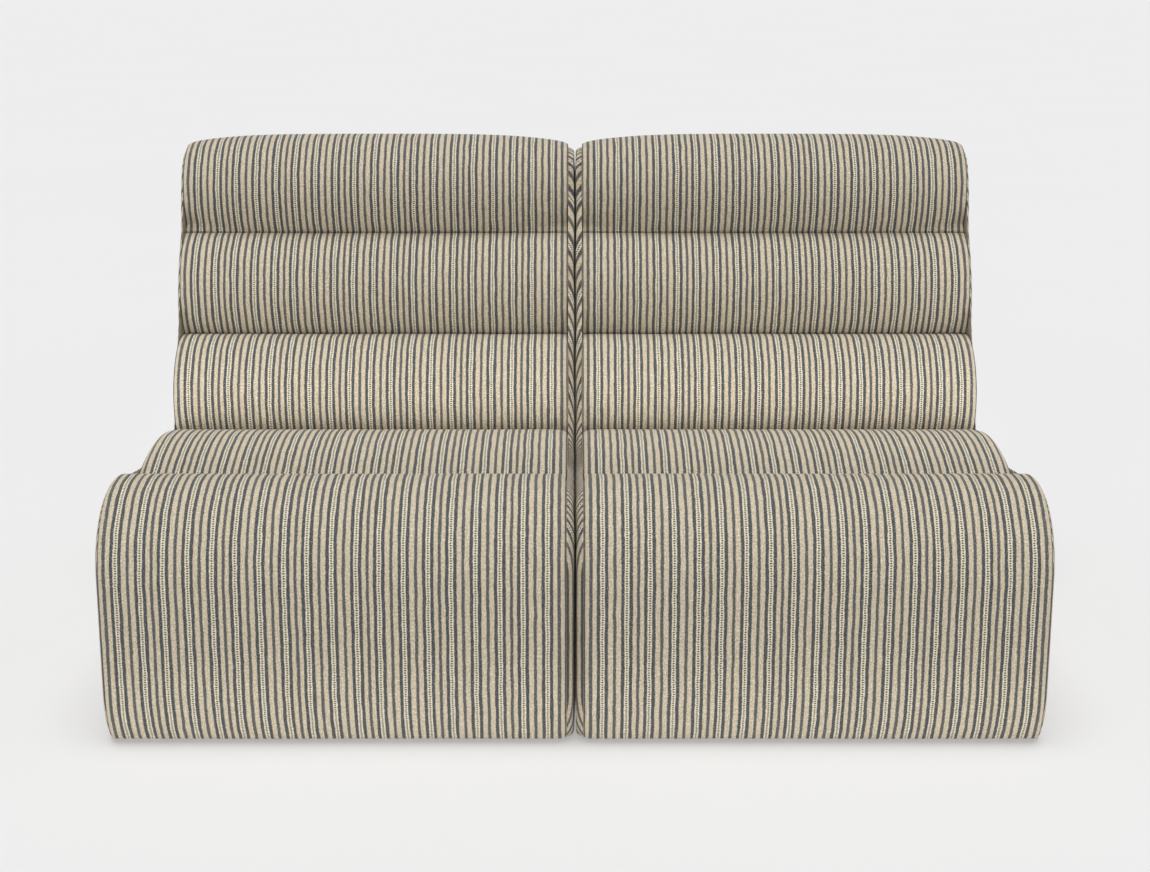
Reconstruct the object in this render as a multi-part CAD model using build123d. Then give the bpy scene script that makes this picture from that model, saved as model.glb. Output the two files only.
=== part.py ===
from build123d import *
import math
import os

# A two-seater sofa: two armless modules with channelled upholstery, side by side.
# Sizes are millimetres. In a module's side view, y runs back from the front face and z up from the
# floor. The finished sofa stands with its middle over the origin and faces -Y.

# Modules
MODULE_WIDTH = 755.5
MODULE_GAP = 3.0

# Seat rolls, side view
SEAT_FRONT_HEIGHT = 414.0
FRONT_RADIUS = 134.0
FRONT_FLAT = 16.0
TUCK_DEPTH = 32.0
TUCK_HEIGHT = 92.0
COVER_BOTTOM = 10.0
SEAT_CREASE_DROP = 67.0
SEAT_CHANNEL = 401.0
SEAT_RISE = 58.0

# Back rolls, side view: crease to crease, lean from upright in degrees, and rise over the creases
LOWER_CHANNEL = 212.0
LOWER_LEAN = 30.3
LOWER_RISE = 82.0
MIDDLE_CHANNEL = 197.0
MIDDLE_LEAN = 17.0
MIDDLE_RISE = 59.0
TOP_RADIUS = 109.0
TOP_TILT = 40.8

# Roll ends
END_DRAW = 3.0
END_SHARPNESS = 12
TOP_CROWN = 16.0
TOP_CROWN_SHARPNESS = 4
CREASE_CLEARANCE = 0.3

# Covers; a side cover is cut inside the rolls' outline and domes out from its seam
SIDE_PAD = 12.0
SIDE_DOME = 18.0
SIDE_SETBACK = 10.0
SIDE_SEAT_FALL = 7.5
SIDE_CORNER = 90.0
SIDE_TOP_SETBACK = 19.0
SIDE_REAR_SETBACK = 4.0
SIDE_BOTTOM = 14.0
BACK_PAD = 8.0
BACK_ROUNDING = 12.0
FRONT_PAD = 55.0
SEAT_UNDERLAY = 17.0
BACK_UNDERLAY = 20.0

# Foam cores
SEAT_FOAM = 60.0
BACK_FOAM = 30.0

# Frame
BASE_HEIGHT = 20.0
SIDE_BOARD = 18.0
FRONT_BOARD = 15.0
RAIL_THICKNESS = 30.0
RAIL_WIDTH = 60.0
HEAD_BOARD = 18.0
BACK_RAIL_INSET = 20.0
BLOCK_LEG = 70.0
BLOCK_HEIGHT = 40.0
BATTEN_WIDTH = 45.0
BATTEN_HEIGHT = 25.0

# Webbing
STRAP_WIDTH = 70.0
STRAP_THICKNESS = 2.0
STRAP_COUNT = 6
CLIP_DEPTH = 20.0
CLIP_THICKNESS = 1.2
STRAP_ROOM = 2.0

# Underside
DUST_COVER = 1.5
DUST_MARGIN = 2.0
GLIDE_RADIUS = 25.0
GLIDE_ROUNDING = 3.0
GLIDE_RECESS = 3.0

# Screws; a countersunk head is as deep as it stands out beyond the shank
FRAME_SCREW_RADIUS = 3.0
FRAME_SCREW_HEAD = 2.0
FRAME_SCREW_LENGTH = 55.0
BASE_SCREW_RADIUS = 2.2
BASE_SCREW_HEAD = 2.2
BASE_SCREW_GRIP = 18.0
SCREW_CLEARANCE = 0.1

# Link plates that hold the modules together
LINK_SETBACKS = (260.0, 780.0)
LINK_LENGTH = 60.0
LINK_WIDTH = 50.0
LINK_PLATE = 3.0
LINK_SCREW_SPACING = 22.0
LINK_EDGE = 2.5
TONGUE_WIDTH = 34.0
TONGUE_REACH = 48.0
TONGUE_CLEARANCE = 0.5
TONGUE_DROP = 1.5
SOCKET_WALL = 4.0


def polar(centre, radius, degrees):
    """A side-view point at an angle from the rearward direction, turning upward."""
    angle = math.radians(degrees)
    return centre + Vector(math.cos(angle), math.sin(angle)) * radius


def leaning(length, lean):
    """A side-view step up a line that leans back from upright."""
    return polar(Vector(0, 0), length, 90 - lean)


# Creases between the rolls, from the front
SEAT_CREASE_HEIGHT = SEAT_FRONT_HEIGHT - SEAT_CREASE_DROP
FRONT_AXIS = Vector(FRONT_RADIUS, SEAT_FRONT_HEIGHT - FRONT_RADIUS)
FRONT_REAR_AXIS = FRONT_AXIS + Vector(FRONT_FLAT, 0)
SEAT_CREASE_ANGLE = math.degrees(math.asin(1 - SEAT_CREASE_DROP / FRONT_RADIUS))
SEAT_CREASE = polar(FRONT_REAR_AXIS, FRONT_RADIUS, SEAT_CREASE_ANGLE)
SEAT_BACK_CREASE = SEAT_CREASE + Vector(SEAT_CHANNEL, 0)
LOWER_CREASE = SEAT_BACK_CREASE + leaning(LOWER_CHANNEL, LOWER_LEAN)
UPPER_CREASE = LOWER_CREASE + leaning(MIDDLE_CHANNEL, MIDDLE_LEAN)
TOP_AXIS = polar(UPPER_CREASE, TOP_RADIUS, TOP_TILT)
DEPTH = TOP_AXIS.X + TOP_RADIUS
TUCK_FALL = TUCK_HEIGHT - COVER_BOTTOM
TUCK_RADIUS = (TUCK_DEPTH**2 + TUCK_FALL**2) / (2 * TUCK_DEPTH)

# Planes that carry the rolls: the seat plane, the leaning back plane and the top of the frame
SEAT_PLANE = SEAT_CREASE_HEIGHT - SEAT_UNDERLAY
BACK_UP = (UPPER_CREASE - SEAT_BACK_CREASE).normalized()
BACK_OUT = Vector(BACK_UP.Y, -BACK_UP.X)
CREASES = (SEAT_BACK_CREASE, LOWER_CREASE, UPPER_CREASE)
BACK_SETBACK = max((crease - SEAT_BACK_CREASE).dot(BACK_OUT) for crease in CREASES) + BACK_UNDERLAY
BACK_START = SEAT_BACK_CREASE + BACK_OUT * BACK_SETBACK
FRAME_TOP = TOP_AXIS.Y


def behind(crease):
    """The point of the back plane straight behind a crease."""
    return crease + BACK_OUT * (BACK_SETBACK - (crease - SEAT_BACK_CREASE).dot(BACK_OUT))


def back_at(height):
    """The point of the back plane at a height above the floor."""
    return BACK_START + BACK_UP * ((height - BACK_START.Y) / BACK_UP.Y)


SEAT_CORNER = back_at(SEAT_PLANE)
BACK_HEAD = back_at(FRAME_TOP)


def along_back(up, out):
    """A point in the back: distance up from the seat corner, and out behind the back plane."""
    return SEAT_CORNER + BACK_UP * up + BACK_OUT * out


# Layers across the left module
OUTER_X = -(MODULE_GAP / 2 + MODULE_WIDTH)
INNER_X = -MODULE_GAP / 2
ROLL_OUTER_X = OUTER_X + SIDE_PAD
ROLL_INNER_X = INNER_X - SIDE_PAD
RAIL_OUTER_X = ROLL_OUTER_X + SIDE_BOARD
RAIL_INNER_X = ROLL_INNER_X - SIDE_BOARD
FRAME_BACK = DEPTH - TOP_CROWN - BACK_PAD
FRAME_FRONT = FRONT_PAD + FRONT_BOARD
FOAM_BOTTOM = SEAT_PLANE - SEAT_FOAM
RAIL_TOP = FOAM_BOTTOM - STRAP_THICKNESS - CLIP_THICKNESS
SEAT_REAR_RAIL_FRONT = SEAT_CORNER.X - RAIL_THICKNESS
BASE_UNDER = BASE_HEIGHT - DUST_COVER


def outline(first, *steps):
    """A side-view face from a run of points; a step of two points is an arc's middle and its end."""
    edges = []
    here = first
    for step in (*steps, first):
        if isinstance(step, tuple):
            edges.append(ThreePointArc(here, *step))
            here = step[1]
        else:
            edges.append(Line(here, step))
            here = step
    return make_face(edges)


def rectangle(y0, y1, z0, z1):
    """A side-view rectangle."""
    return outline(Vector(y0, z0), Vector(y1, z0), Vector(y1, z1), Vector(y0, z1))


def slab(section, x0, x1):
    """A side-view section carried across the module from x0 to x1."""
    return extrude(Plane.YZ.offset(x0) * section, amount=x1 - x0)


def box(x0, x1, y0, y1, z0, z1):
    """A square-edged block between two corners."""
    return slab(rectangle(y0, y1, z0, z1), x0, x1)


def channel_arc(start, end, rise):
    """Start, middle and end of a channel's arc over the line between its creases."""
    across = (end - start).normalized()
    outward = Vector(-across.Y, across.X)
    return start, (start + end) * 0.5 + outward * rise, end


def ring_arc(centre, radius, start, end):
    """Start, middle and end of an arc about a centre, by angle."""
    return tuple(polar(centre, radius, angle) for angle in (start, (start + end) / 2, end))


def end_draw(fraction):
    """How far a roll is drawn in at a place along it, from 0 in the middle to 1 at its end."""
    return END_DRAW * fraction**END_SHARPNESS


def roll(section):
    """A stuffed roll: its section, given the draw-in and the place, lofted from seam to seam."""
    middle = (ROLL_OUTER_X + ROLL_INNER_X) / 2
    half = (ROLL_INNER_X - ROLL_OUTER_X) / 2
    near = (0.0, 0.3, 0.6, 0.8, 0.9, 0.96, 1.0)
    places = [-place for place in reversed(near[1:])] + list(near)
    return loft([Plane.YZ.offset(middle + half * place) * section(abs(place)) for place in places])


def front_arcs(draw, bottom):
    """The three arcs of the front roll: tuck, front edge and the fall to the seat crease."""
    tuck_axis = Vector(draw + TUCK_RADIUS, TUCK_HEIGHT)
    tuck_start = 180 + math.degrees(math.asin((TUCK_HEIGHT - bottom) / TUCK_RADIUS))
    tuck = ring_arc(tuck_axis, TUCK_RADIUS, tuck_start, 180)
    edge = ring_arc(FRONT_AXIS, FRONT_RADIUS - draw, 180, 90)
    crest = polar(FRONT_REAR_AXIS, FRONT_RADIUS - draw, 90)
    shoulder = polar(FRONT_REAR_AXIS, FRONT_RADIUS - draw, (90 + SEAT_CREASE_ANGLE) / 2)
    return tuck, edge, (crest, shoulder, SEAT_CREASE)


def front_roll_section(place):
    """Waterfall roll over the front board, from the floor tuck to the seat crease."""
    tuck, edge, fall = front_arcs(end_draw(place), COVER_BOTTOM)
    gap = Vector(CREASE_CLEARANCE / 2, 0)
    return outline(
        tuck[0], tuck[1:], edge[0], edge[1:], fall[0], (fall[1], fall[2] - gap),
        Vector(SEAT_CREASE.X, SEAT_PLANE) - gap,
        Vector(FRONT_PAD, SEAT_PLANE), Vector(FRONT_PAD, COVER_BOTTOM),
    )


def channel_section(start, end, rise, start_base, end_base):
    """Section of a channel between two creases, down to the plane that carries it."""
    gap = (end - start).normalized() * (CREASE_CLEARANCE / 2)
    base_gap = (end_base - start_base).normalized() * (CREASE_CLEARANCE / 2)

    def section(place):
        arc = channel_arc(start + gap, end - gap, rise - end_draw(place))
        return outline(arc[0], arc[1:], end_base - base_gap, start_base + base_gap)

    return section


def top_arcs(draw):
    """Front and rear arcs of the top roll, from the upper crease over the crest to the back."""
    radius = TOP_RADIUS - draw
    return ring_arc(TOP_AXIS, radius, 180 + TOP_TILT, 90), ring_arc(TOP_AXIS, radius, 90, 0)


def top_draw(place):
    """The top roll also falls away gently from its middle to its ends."""
    return TOP_CROWN * place**TOP_CROWN_SHARPNESS


def top_roll_section(place):
    """Roll that wraps over the head of the frame."""
    front, rear = top_arcs(top_draw(place))
    gap = BACK_UP * (CREASE_CLEARANCE / 2)
    return outline(front[0] + gap, front[1:], rear[1:], BACK_HEAD, behind(UPPER_CREASE) + gap)


def back_cover_section(place):
    """Padded panel behind the frame, in line with the back of the top roll."""
    face = DEPTH - top_draw(place)
    radius = min(BACK_ROUNDING, (face - FRAME_BACK) / 2)
    rounding = ring_arc(Vector(face - radius, SIDE_BOTTOM + radius), radius, -90, 0)
    return outline(
        Vector(FRAME_BACK, SIDE_BOTTOM), rounding[0], rounding[1:], Vector(face, FRAME_TOP),
        Vector(FRAME_BACK, FRAME_TOP),
    )


# Side covers: the seat line falls gently to a round corner, then the edge leans with the back
BACK_LEAN = math.degrees(math.atan2(BACK_UP.X, BACK_UP.Y))
SIDE_TOP_RADIUS = TOP_RADIUS - TOP_CROWN - SIDE_TOP_SETBACK
SIDE_REAR_AXIS = TOP_AXIS + Vector(SIDE_TOP_SETBACK - SIDE_REAR_SETBACK, 0)


def side_corner_axis():
    """Centre of the corner arc, as far above the seat line as it is in front of the leaning edge."""
    seat = polar(Vector(0, 0), 1, 90 - SIDE_SEAT_FALL)
    back = polar(Vector(0, 0), 1, 180 - BACK_LEAN)
    seat_reach = FRONT_AXIS.dot(seat) + FRONT_RADIUS - SIDE_SETBACK + SIDE_CORNER
    back_reach = TOP_AXIS.dot(back) + SIDE_TOP_RADIUS + SIDE_CORNER
    spread = seat.X * back.Y - seat.Y * back.X
    return Vector(
        (seat_reach * back.Y - back_reach * seat.Y) / spread,
        (back_reach * seat.X - seat_reach * back.X) / spread,
    )


def side_outline(inset):
    """Outline of a side cover, drawn in from its seam; the bottom is drawn in half as far."""
    draw = SIDE_SETBACK + inset
    bottom = SIDE_BOTTOM + inset / 2
    tuck = front_arcs(draw, bottom)[0]
    edge = ring_arc(FRONT_AXIS, FRONT_RADIUS - draw, 180, 90 - SIDE_SEAT_FALL)
    corner = ring_arc(side_corner_axis(), SIDE_CORNER + inset, 270 - SIDE_SEAT_FALL, 360 - BACK_LEAN)
    top_front = ring_arc(TOP_AXIS, SIDE_TOP_RADIUS - inset, 180 - BACK_LEAN, 90)
    top_rear = ring_arc(SIDE_REAR_AXIS, SIDE_TOP_RADIUS - inset, 90, 0)
    return outline(
        tuck[0], tuck[1:], edge[0], edge[1:], corner[0], corner[1:], top_front[0], top_front[1:],
        top_rear[0], top_rear[1:], Vector(top_rear[2].X, bottom),
    )


def side_cover(seam_x, outward):
    """Padded side panel: flat against the frame and roll ends, and domed outward from its seam."""
    dome = min(SIDE_DOME, SIDE_TOP_RADIUS * 0.8)
    layers = []
    for share in (0.0, 0.35, 0.6, 0.8, 0.92, 1.0):
        inset = dome * (1 - math.sqrt(1 - share**2))
        layers.append(Plane.YZ.offset(seam_x + outward * SIDE_PAD * share) * side_outline(inset))
    return loft(layers, ruled=True)


def soft_pieces():
    """The rolls and padded covers of the left module."""
    return {
        "front_seat_roll": roll(front_roll_section),
        "rear_seat_roll": roll(channel_section(
            SEAT_CREASE, SEAT_BACK_CREASE, SEAT_RISE, Vector(SEAT_CREASE.X, SEAT_PLANE), SEAT_CORNER,
        )),
        "lower_back_roll": roll(channel_section(
            SEAT_BACK_CREASE, LOWER_CREASE, LOWER_RISE, SEAT_CORNER, behind(LOWER_CREASE),
        )),
        "middle_back_roll": roll(channel_section(
            LOWER_CREASE, UPPER_CREASE, MIDDLE_RISE, behind(LOWER_CREASE), behind(UPPER_CREASE),
        )),
        "top_back_roll": roll(top_roll_section),
        "outer_side_cover": side_cover(ROLL_OUTER_X, -1),
        "inner_side_cover": side_cover(ROLL_INNER_X, 1),
        "outside_back_cover": roll(back_cover_section),
    }


# Back layers: foam on straps on rails, measured up from the seat corner
BACK_LENGTH = (BACK_HEAD - SEAT_CORNER).length
HEAD_ROOM = HEAD_BOARD / BACK_UP.Y
FOAM_LENGTH = BACK_LENGTH - HEAD_ROOM - STRAP_ROOM
RAIL_OUT = BACK_FOAM + STRAP_THICKNESS
TOP_RAIL_UP = FOAM_LENGTH - BACK_RAIL_INSET - RAIL_WIDTH


def back_strip(up0, up1, out0, out1):
    """Side-view rectangle that leans with the back."""
    return outline(
        along_back(up0, out0), along_back(up1, out0), along_back(up1, out1), along_back(up0, out1),
    )


def rail_sections():
    """Side-view section of each piece that spans the module between its side frames."""
    return {
        "front_board": rectangle(FRONT_PAD, FRAME_FRONT, BASE_HEIGHT, SEAT_PLANE),
        "seat_front_rail": rectangle(
            FRAME_FRONT, FRAME_FRONT + RAIL_THICKNESS, RAIL_TOP - RAIL_WIDTH, RAIL_TOP,
        ),
        "seat_rear_rail": rectangle(
            SEAT_REAR_RAIL_FRONT, SEAT_CORNER.X, RAIL_TOP - RAIL_WIDTH, RAIL_TOP,
        ),
        "back_lower_rail": back_strip(
            BACK_RAIL_INSET, BACK_RAIL_INSET + RAIL_WIDTH, RAIL_OUT, RAIL_OUT + RAIL_THICKNESS,
        ),
        "back_top_rail": back_strip(
            TOP_RAIL_UP, TOP_RAIL_UP + RAIL_WIDTH, RAIL_OUT, RAIL_OUT + RAIL_THICKNESS,
        ),
        "head_board": rectangle(BACK_HEAD.X, FRAME_BACK, FRAME_TOP - HEAD_BOARD, FRAME_TOP),
        "base_rear_rail": rectangle(
            FRAME_BACK - RAIL_THICKNESS, FRAME_BACK, BASE_HEIGHT, BASE_HEIGHT + RAIL_WIDTH,
        ),
    }


def screw(radius, head, length):
    """Countersunk screw that stands on its head at the origin and points up."""
    profile = Polyline((0, 0), (radius + head, 0), (radius, head), (radius, length), (0, length), close=True)
    return revolve(Plane.XZ * make_face(profile), Axis.Z)


def frame_screw(point, face_x, direction, clearance):
    """Countersunk screw along X from a side frame's outer face, or the hole it sits in."""
    plane = Plane(origin=(face_x, point.X, point.Y), z_dir=(direction, 0, 0))
    return plane * screw(FRAME_SCREW_RADIUS + clearance, FRAME_SCREW_HEAD, FRAME_SCREW_LENGTH)


def frame_pieces():
    """Plywood sides, the boards and rails between them, and the screws that join them."""
    sections = rail_sections()
    centres = {name: section.center() for name, section in sections.items()}
    points = [Vector(centre.X, centre.Y) for centre in centres.values()]
    side_section = outline(
        Vector(FRONT_PAD, BASE_HEIGHT), Vector(FRONT_PAD, SEAT_PLANE), SEAT_CORNER, BACK_HEAD,
        Vector(FRAME_BACK, FRAME_TOP), Vector(FRAME_BACK, BASE_HEIGHT),
    )
    sides = ((ROLL_OUTER_X, 1), (ROLL_INNER_X, -1))
    screws = [frame_screw(point, face, way, 0) for face, way in sides for point in points]
    holes = [frame_screw(point, face, way, SCREW_CLEARANCE) for face, way in sides for point in points]
    pieces = {
        "outer_side_frame": slab(side_section, ROLL_OUTER_X, RAIL_OUTER_X) - holes,
        "inner_side_frame": slab(side_section, RAIL_INNER_X, ROLL_INNER_X) - holes,
    }
    for name, section in sections.items():
        pieces[name] = slab(section, RAIL_OUTER_X, RAIL_INNER_X) - holes
    pieces["frame_screws"] = Compound(children=screws)
    return pieces


def foam_pieces():
    """Foam cores under the seat rolls and behind the back rolls."""
    return {
        "seat_foam": box(
            RAIL_OUTER_X, RAIL_INNER_X, FRAME_FRONT, SEAT_CORNER.X, FOAM_BOTTOM, SEAT_PLANE,
        ),
        "back_foam": slab(back_strip(0, FOAM_LENGTH, 0, BACK_FOAM), RAIL_OUTER_X, RAIL_INNER_X),
    }


def webbing_pieces():
    """Elastic straps under the seat foam and behind the back foam, with clips on the seat straps."""
    span = RAIL_INNER_X - RAIL_OUTER_X
    pitch = span / STRAP_COUNT
    edges = [RAIL_OUTER_X + pitch * (i + 0.5) - STRAP_WIDTH / 2 for i in range(STRAP_COUNT)]
    strap_top = RAIL_TOP + STRAP_THICKNESS
    front_end = FRAME_FRONT + STRAP_ROOM
    rear_end = SEAT_CORNER.X - STRAP_ROOM
    seat_straps = []
    clips = []
    back_straps = []
    back_section = back_strip(
        BACK_RAIL_INSET, TOP_RAIL_UP + RAIL_WIDTH, BACK_FOAM, BACK_FOAM + STRAP_THICKNESS,
    )
    for x in edges:
        seat_straps.append(box(x, x + STRAP_WIDTH, front_end, rear_end, RAIL_TOP, strap_top))
        back_straps.append(slab(back_section, x, x + STRAP_WIDTH))
        for y in (front_end, rear_end - CLIP_DEPTH):
            clips.append(box(
                x, x + STRAP_WIDTH, y, y + CLIP_DEPTH, strap_top, strap_top + CLIP_THICKNESS,
            ))
    return {
        "seat_webbing": Compound(children=seat_straps),
        "webbing_clips": Compound(children=clips),
        "back_webbing": Compound(children=back_straps),
    }


def base_screw(x, y, head_z, clearance):
    """Countersunk screw driven up into the base, or the hole it sits in."""
    length = BASE_HEIGHT + BASE_SCREW_GRIP - head_z
    return Pos(x, y, head_z) * screw(BASE_SCREW_RADIUS + clearance, BASE_SCREW_HEAD, length)


def base_corners():
    """Base corners of the left module, each with its directions into the module."""
    return [
        (x, way_x, y, way_y)
        for x, way_x in ((RAIL_OUTER_X, 1), (RAIL_INNER_X, -1))
        for y, way_y in ((FRAME_FRONT, 1), (FRAME_BACK - RAIL_THICKNESS, -1))
    ]


def upright_cylinder(radius, height):
    """A cylinder that stands on the floor at the origin."""
    return Cylinder(radius, height, align=(Align.CENTER, Align.CENTER, Align.MIN))


def glide():
    """Floor glide with a chamfered foot and a recess for its screw's head."""
    disc = upright_cylinder(GLIDE_RADIUS, BASE_UNDER)
    disc = chamfer(disc.edges().group_by(Axis.Z)[0], GLIDE_ROUNDING)
    head_radius = BASE_SCREW_RADIUS + BASE_SCREW_HEAD + SCREW_CLEARANCE
    return disc - upright_cylinder(head_radius, GLIDE_RECESS)


def corner_block(x, way_x, y, way_y):
    """Triangular block in a corner of the base."""
    corner = Polygon((x, y), (x + way_x * BLOCK_LEG, y), (x, y + way_y * BLOCK_LEG), align=None)
    return extrude(Pos(0, 0, BASE_HEIGHT) * corner, amount=BLOCK_HEIGHT, dir=(0, 0, 1))


# Link plates lie under the batten beside the inner side frame, clear below the side covers
LINK_START = ROLL_INNER_X - LINK_EDGE
LINK_END = LINK_START - LINK_LENGTH
TONGUE_TOP = SIDE_BOTTOM - TONGUE_DROP
TONGUE_BOTTOM = TONGUE_TOP - LINK_PLATE
SOCKET_BOTTOM = TONGUE_BOTTOM - TONGUE_CLEARANCE - SOCKET_WALL
SLOT_END = -TONGUE_REACH - TONGUE_CLEARANCE


def link_sockets():
    """Blocks with a slot open towards the gap."""
    slot_half = TONGUE_WIDTH / 2 + TONGUE_CLEARANCE
    blocks = []
    for setback in LINK_SETBACKS:
        y0 = setback - LINK_WIDTH / 2
        body = box(LINK_END, LINK_START, y0, y0 + LINK_WIDTH, SOCKET_BOTTOM, BASE_UNDER)
        slot = box(
            SLOT_END, LINK_START, setback - slot_half, setback + slot_half,
            TONGUE_BOTTOM - TONGUE_CLEARANCE, TONGUE_TOP + TONGUE_CLEARANCE,
        )
        blocks.append(body - slot)
    return blocks


def link_tongues():
    """Cranked steel plates that reach across the gap into the sockets of the other module."""
    bend = LINK_START - LINK_PLATE
    flange = (LINK_END, LINK_START, BASE_UNDER - LINK_PLATE, BASE_UNDER)
    web = (bend, LINK_START, TONGUE_BOTTOM, BASE_UNDER)
    tongue = (bend, TONGUE_REACH, TONGUE_BOTTOM, TONGUE_TOP)
    plates = []
    for setback in LINK_SETBACKS:
        y0 = setback - TONGUE_WIDTH / 2
        legs = [box(x0, x1, y0, y0 + TONGUE_WIDTH, z0, z1) for x0, x1, z0, z1 in (flange, web, tongue)]
        plates.append(legs[0] + legs[1:])
    return plates


def link_screw_places(head_z):
    """Where the link plates' screws enter the batten."""
    x = (SLOT_END + LINK_END) / 2
    offsets = (-LINK_SCREW_SPACING / 2, LINK_SCREW_SPACING / 2)
    return [(x, setback + offset, head_z) for setback in LINK_SETBACKS for offset in offsets]


def base_pieces(link_name, links, link_head_z):
    """Everything under a module: blocks, batten, dust cover, glides, link plates and screws."""
    corners = base_corners()
    centres = [(x + way_x * BLOCK_LEG / 3, y + way_y * BLOCK_LEG / 3) for x, way_x, y, way_y in corners]
    places = [(*centre, GLIDE_RECESS) for centre in centres] + link_screw_places(link_head_z)
    holes = [base_screw(*place, SCREW_CLEARANCE) for place in places]
    batten = box(
        RAIL_INNER_X - BATTEN_WIDTH, RAIL_INNER_X, FRAME_FRONT + BLOCK_LEG,
        FRAME_BACK - RAIL_THICKNESS - BLOCK_LEG, BASE_HEIGHT, BASE_HEIGHT + BATTEN_HEIGHT,
    )
    dust = box(
        ROLL_OUTER_X + DUST_MARGIN, ROLL_INNER_X - DUST_MARGIN, FRONT_PAD + DUST_MARGIN,
        FRAME_BACK - DUST_MARGIN, BASE_UNDER, BASE_HEIGHT,
    )
    return {
        "corner_blocks": Compound(children=[corner_block(*corner) - holes for corner in corners]),
        "link_batten": batten - holes,
        "dust_cover": dust - holes,
        "glides": Compound(children=[Pos(*centre, 0) * glide() - holes for centre in centres]),
        link_name: Compound(children=[link - holes for link in links]),
        "base_screws": Compound(children=[base_screw(*place, 0) for place in places]),
    }


def write(name, piece):
    """Saves one piece, moved so that the sofa stands centred on the origin."""
    export_step(Pos(0, -DEPTH / 2, 0) * piece, f"parts/{name}.step")


os.makedirs("parts", exist_ok=True)
module = {**soft_pieces(), **foam_pieces(), **frame_pieces(), **webbing_pieces()}
left_base = base_pieces("link_sockets", link_sockets(), SOCKET_BOTTOM)
right_base = base_pieces("link_tongues", link_tongues(), BASE_UNDER - LINK_PLATE)
for name, piece in {**module, **left_base}.items():
    write(f"left_{name}", piece)
for name, piece in {**module, **right_base}.items():
    write(f"right_{name}", mirror(piece, Plane.YZ))
print(f"width {2 * MODULE_WIDTH + MODULE_GAP:.1f}, depth {DEPTH:.1f}, height {FRAME_TOP + TOP_RADIUS:.1f} mm")
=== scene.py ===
import math
import bmesh
import bpy
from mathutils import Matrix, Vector, geometry, kdtree, noise


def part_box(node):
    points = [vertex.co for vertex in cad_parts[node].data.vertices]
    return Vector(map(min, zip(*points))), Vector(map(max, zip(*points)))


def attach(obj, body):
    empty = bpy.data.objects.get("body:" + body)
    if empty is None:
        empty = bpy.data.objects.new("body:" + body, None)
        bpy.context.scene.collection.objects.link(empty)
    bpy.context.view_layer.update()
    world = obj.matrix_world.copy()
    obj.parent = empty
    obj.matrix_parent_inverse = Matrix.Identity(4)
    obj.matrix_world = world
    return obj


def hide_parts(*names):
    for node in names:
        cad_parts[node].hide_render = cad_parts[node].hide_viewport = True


# A two-seater sofa of two armless modules in ticking stripe. Lengths are metres in the CAD frame:
# +X along the sofa, +Y from front to back, +Z up from the floor.

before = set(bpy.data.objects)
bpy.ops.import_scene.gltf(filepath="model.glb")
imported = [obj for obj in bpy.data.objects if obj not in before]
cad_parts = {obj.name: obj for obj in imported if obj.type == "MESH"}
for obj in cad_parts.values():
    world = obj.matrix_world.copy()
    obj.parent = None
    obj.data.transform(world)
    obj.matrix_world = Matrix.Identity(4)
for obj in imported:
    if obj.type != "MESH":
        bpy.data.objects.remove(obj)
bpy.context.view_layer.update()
SIDES = ("left", "right")
X, Y, Z = range(3)


# Plywood side frames, front boards and head boards: birch plywood, sawn to shape and sanded, and
# screwed to the rails. The plies show on the cut edges as thin pale and brown layers.

PLY = 0.002
FACE_GRAIN_ALONG, FACE_GRAIN_ACROSS = 9.0, 160.0
FACE_RELIEF = 0.0004
BIRCH_PALE = (0.60, 0.43, 0.26, 1)
BIRCH_BROWN = (0.40, 0.25, 0.13, 1)


def new_finish(name, roughness, metal=0.0):
    """A material with its shader, and short ways to add nodes to it and join them to the shader."""
    material = bpy.data.materials.new(name)
    material.use_nodes = True
    tree = material.node_tree
    shader = tree.nodes["Principled BSDF"]
    shader.inputs["Roughness"].default_value = roughness
    shader.inputs["Metallic"].default_value = metal

    def add(kind, sockets=None, **settings):
        made = tree.nodes.new("ShaderNode" + kind)
        for key, value in settings.items():
            setattr(made, key, value)
        for key, value in (sockets or {}).items():
            if isinstance(value, bpy.types.NodeSocket):
                tree.links.new(value, made.inputs[key])
            else:
                made.inputs[key].default_value = value
        return made

    def to_shader(socket, value):
        tree.links.new(value, shader.inputs[socket])

    return material, shader, add, to_shader


def maths(add, operation, *values):
    """One step of arithmetic."""
    return add("Math", dict(enumerate(values)), operation=operation).outputs[0]


def flecks(add, place, stretch, detail=3.0):
    """Noise over a place that is stretched differently along each axis, from 0 to 1."""
    scaled = add("VectorMath", {0: place, 1: stretch}, operation="MULTIPLY")
    grain = add("TexNoise", {"Vector": scaled.outputs[0], "Scale": 1.0, "Detail": detail})
    return grain.outputs["Fac"]


def drawn_out(grain, along, across):
    """The stretch of a wood's flecks along its grain's axis and across it."""
    return tuple(along if axis == grain else across for axis in (X, Y, Z))


def spread(add, value, low, high, to_low=0.0, to_high=1.0):
    """A value carried from one range to another, smoothly and without going past its ends."""
    sockets = {
        "Value": value, "From Min": low, "From Max": high, "To Min": to_low, "To Max": to_high,
    }
    return add("MapRange", sockets, interpolation_type="SMOOTHSTEP").outputs["Result"]


def mixed(add, share, first, second):
    """Two colours mixed by a share; the mix node keeps colours in sockets 6 and 7 and result 2."""
    return add("Mix", {"Factor": share, 6: first, 7: second}, data_type="RGBA").outputs[2]


def raised(add, to_shader, height, distance, strength=1.0):
    """A fine relief on the surface."""
    bump = add("Bump", {"Height": height, "Distance": distance, "Strength": strength})
    to_shader("Normal", bump.outputs["Normal"])


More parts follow.
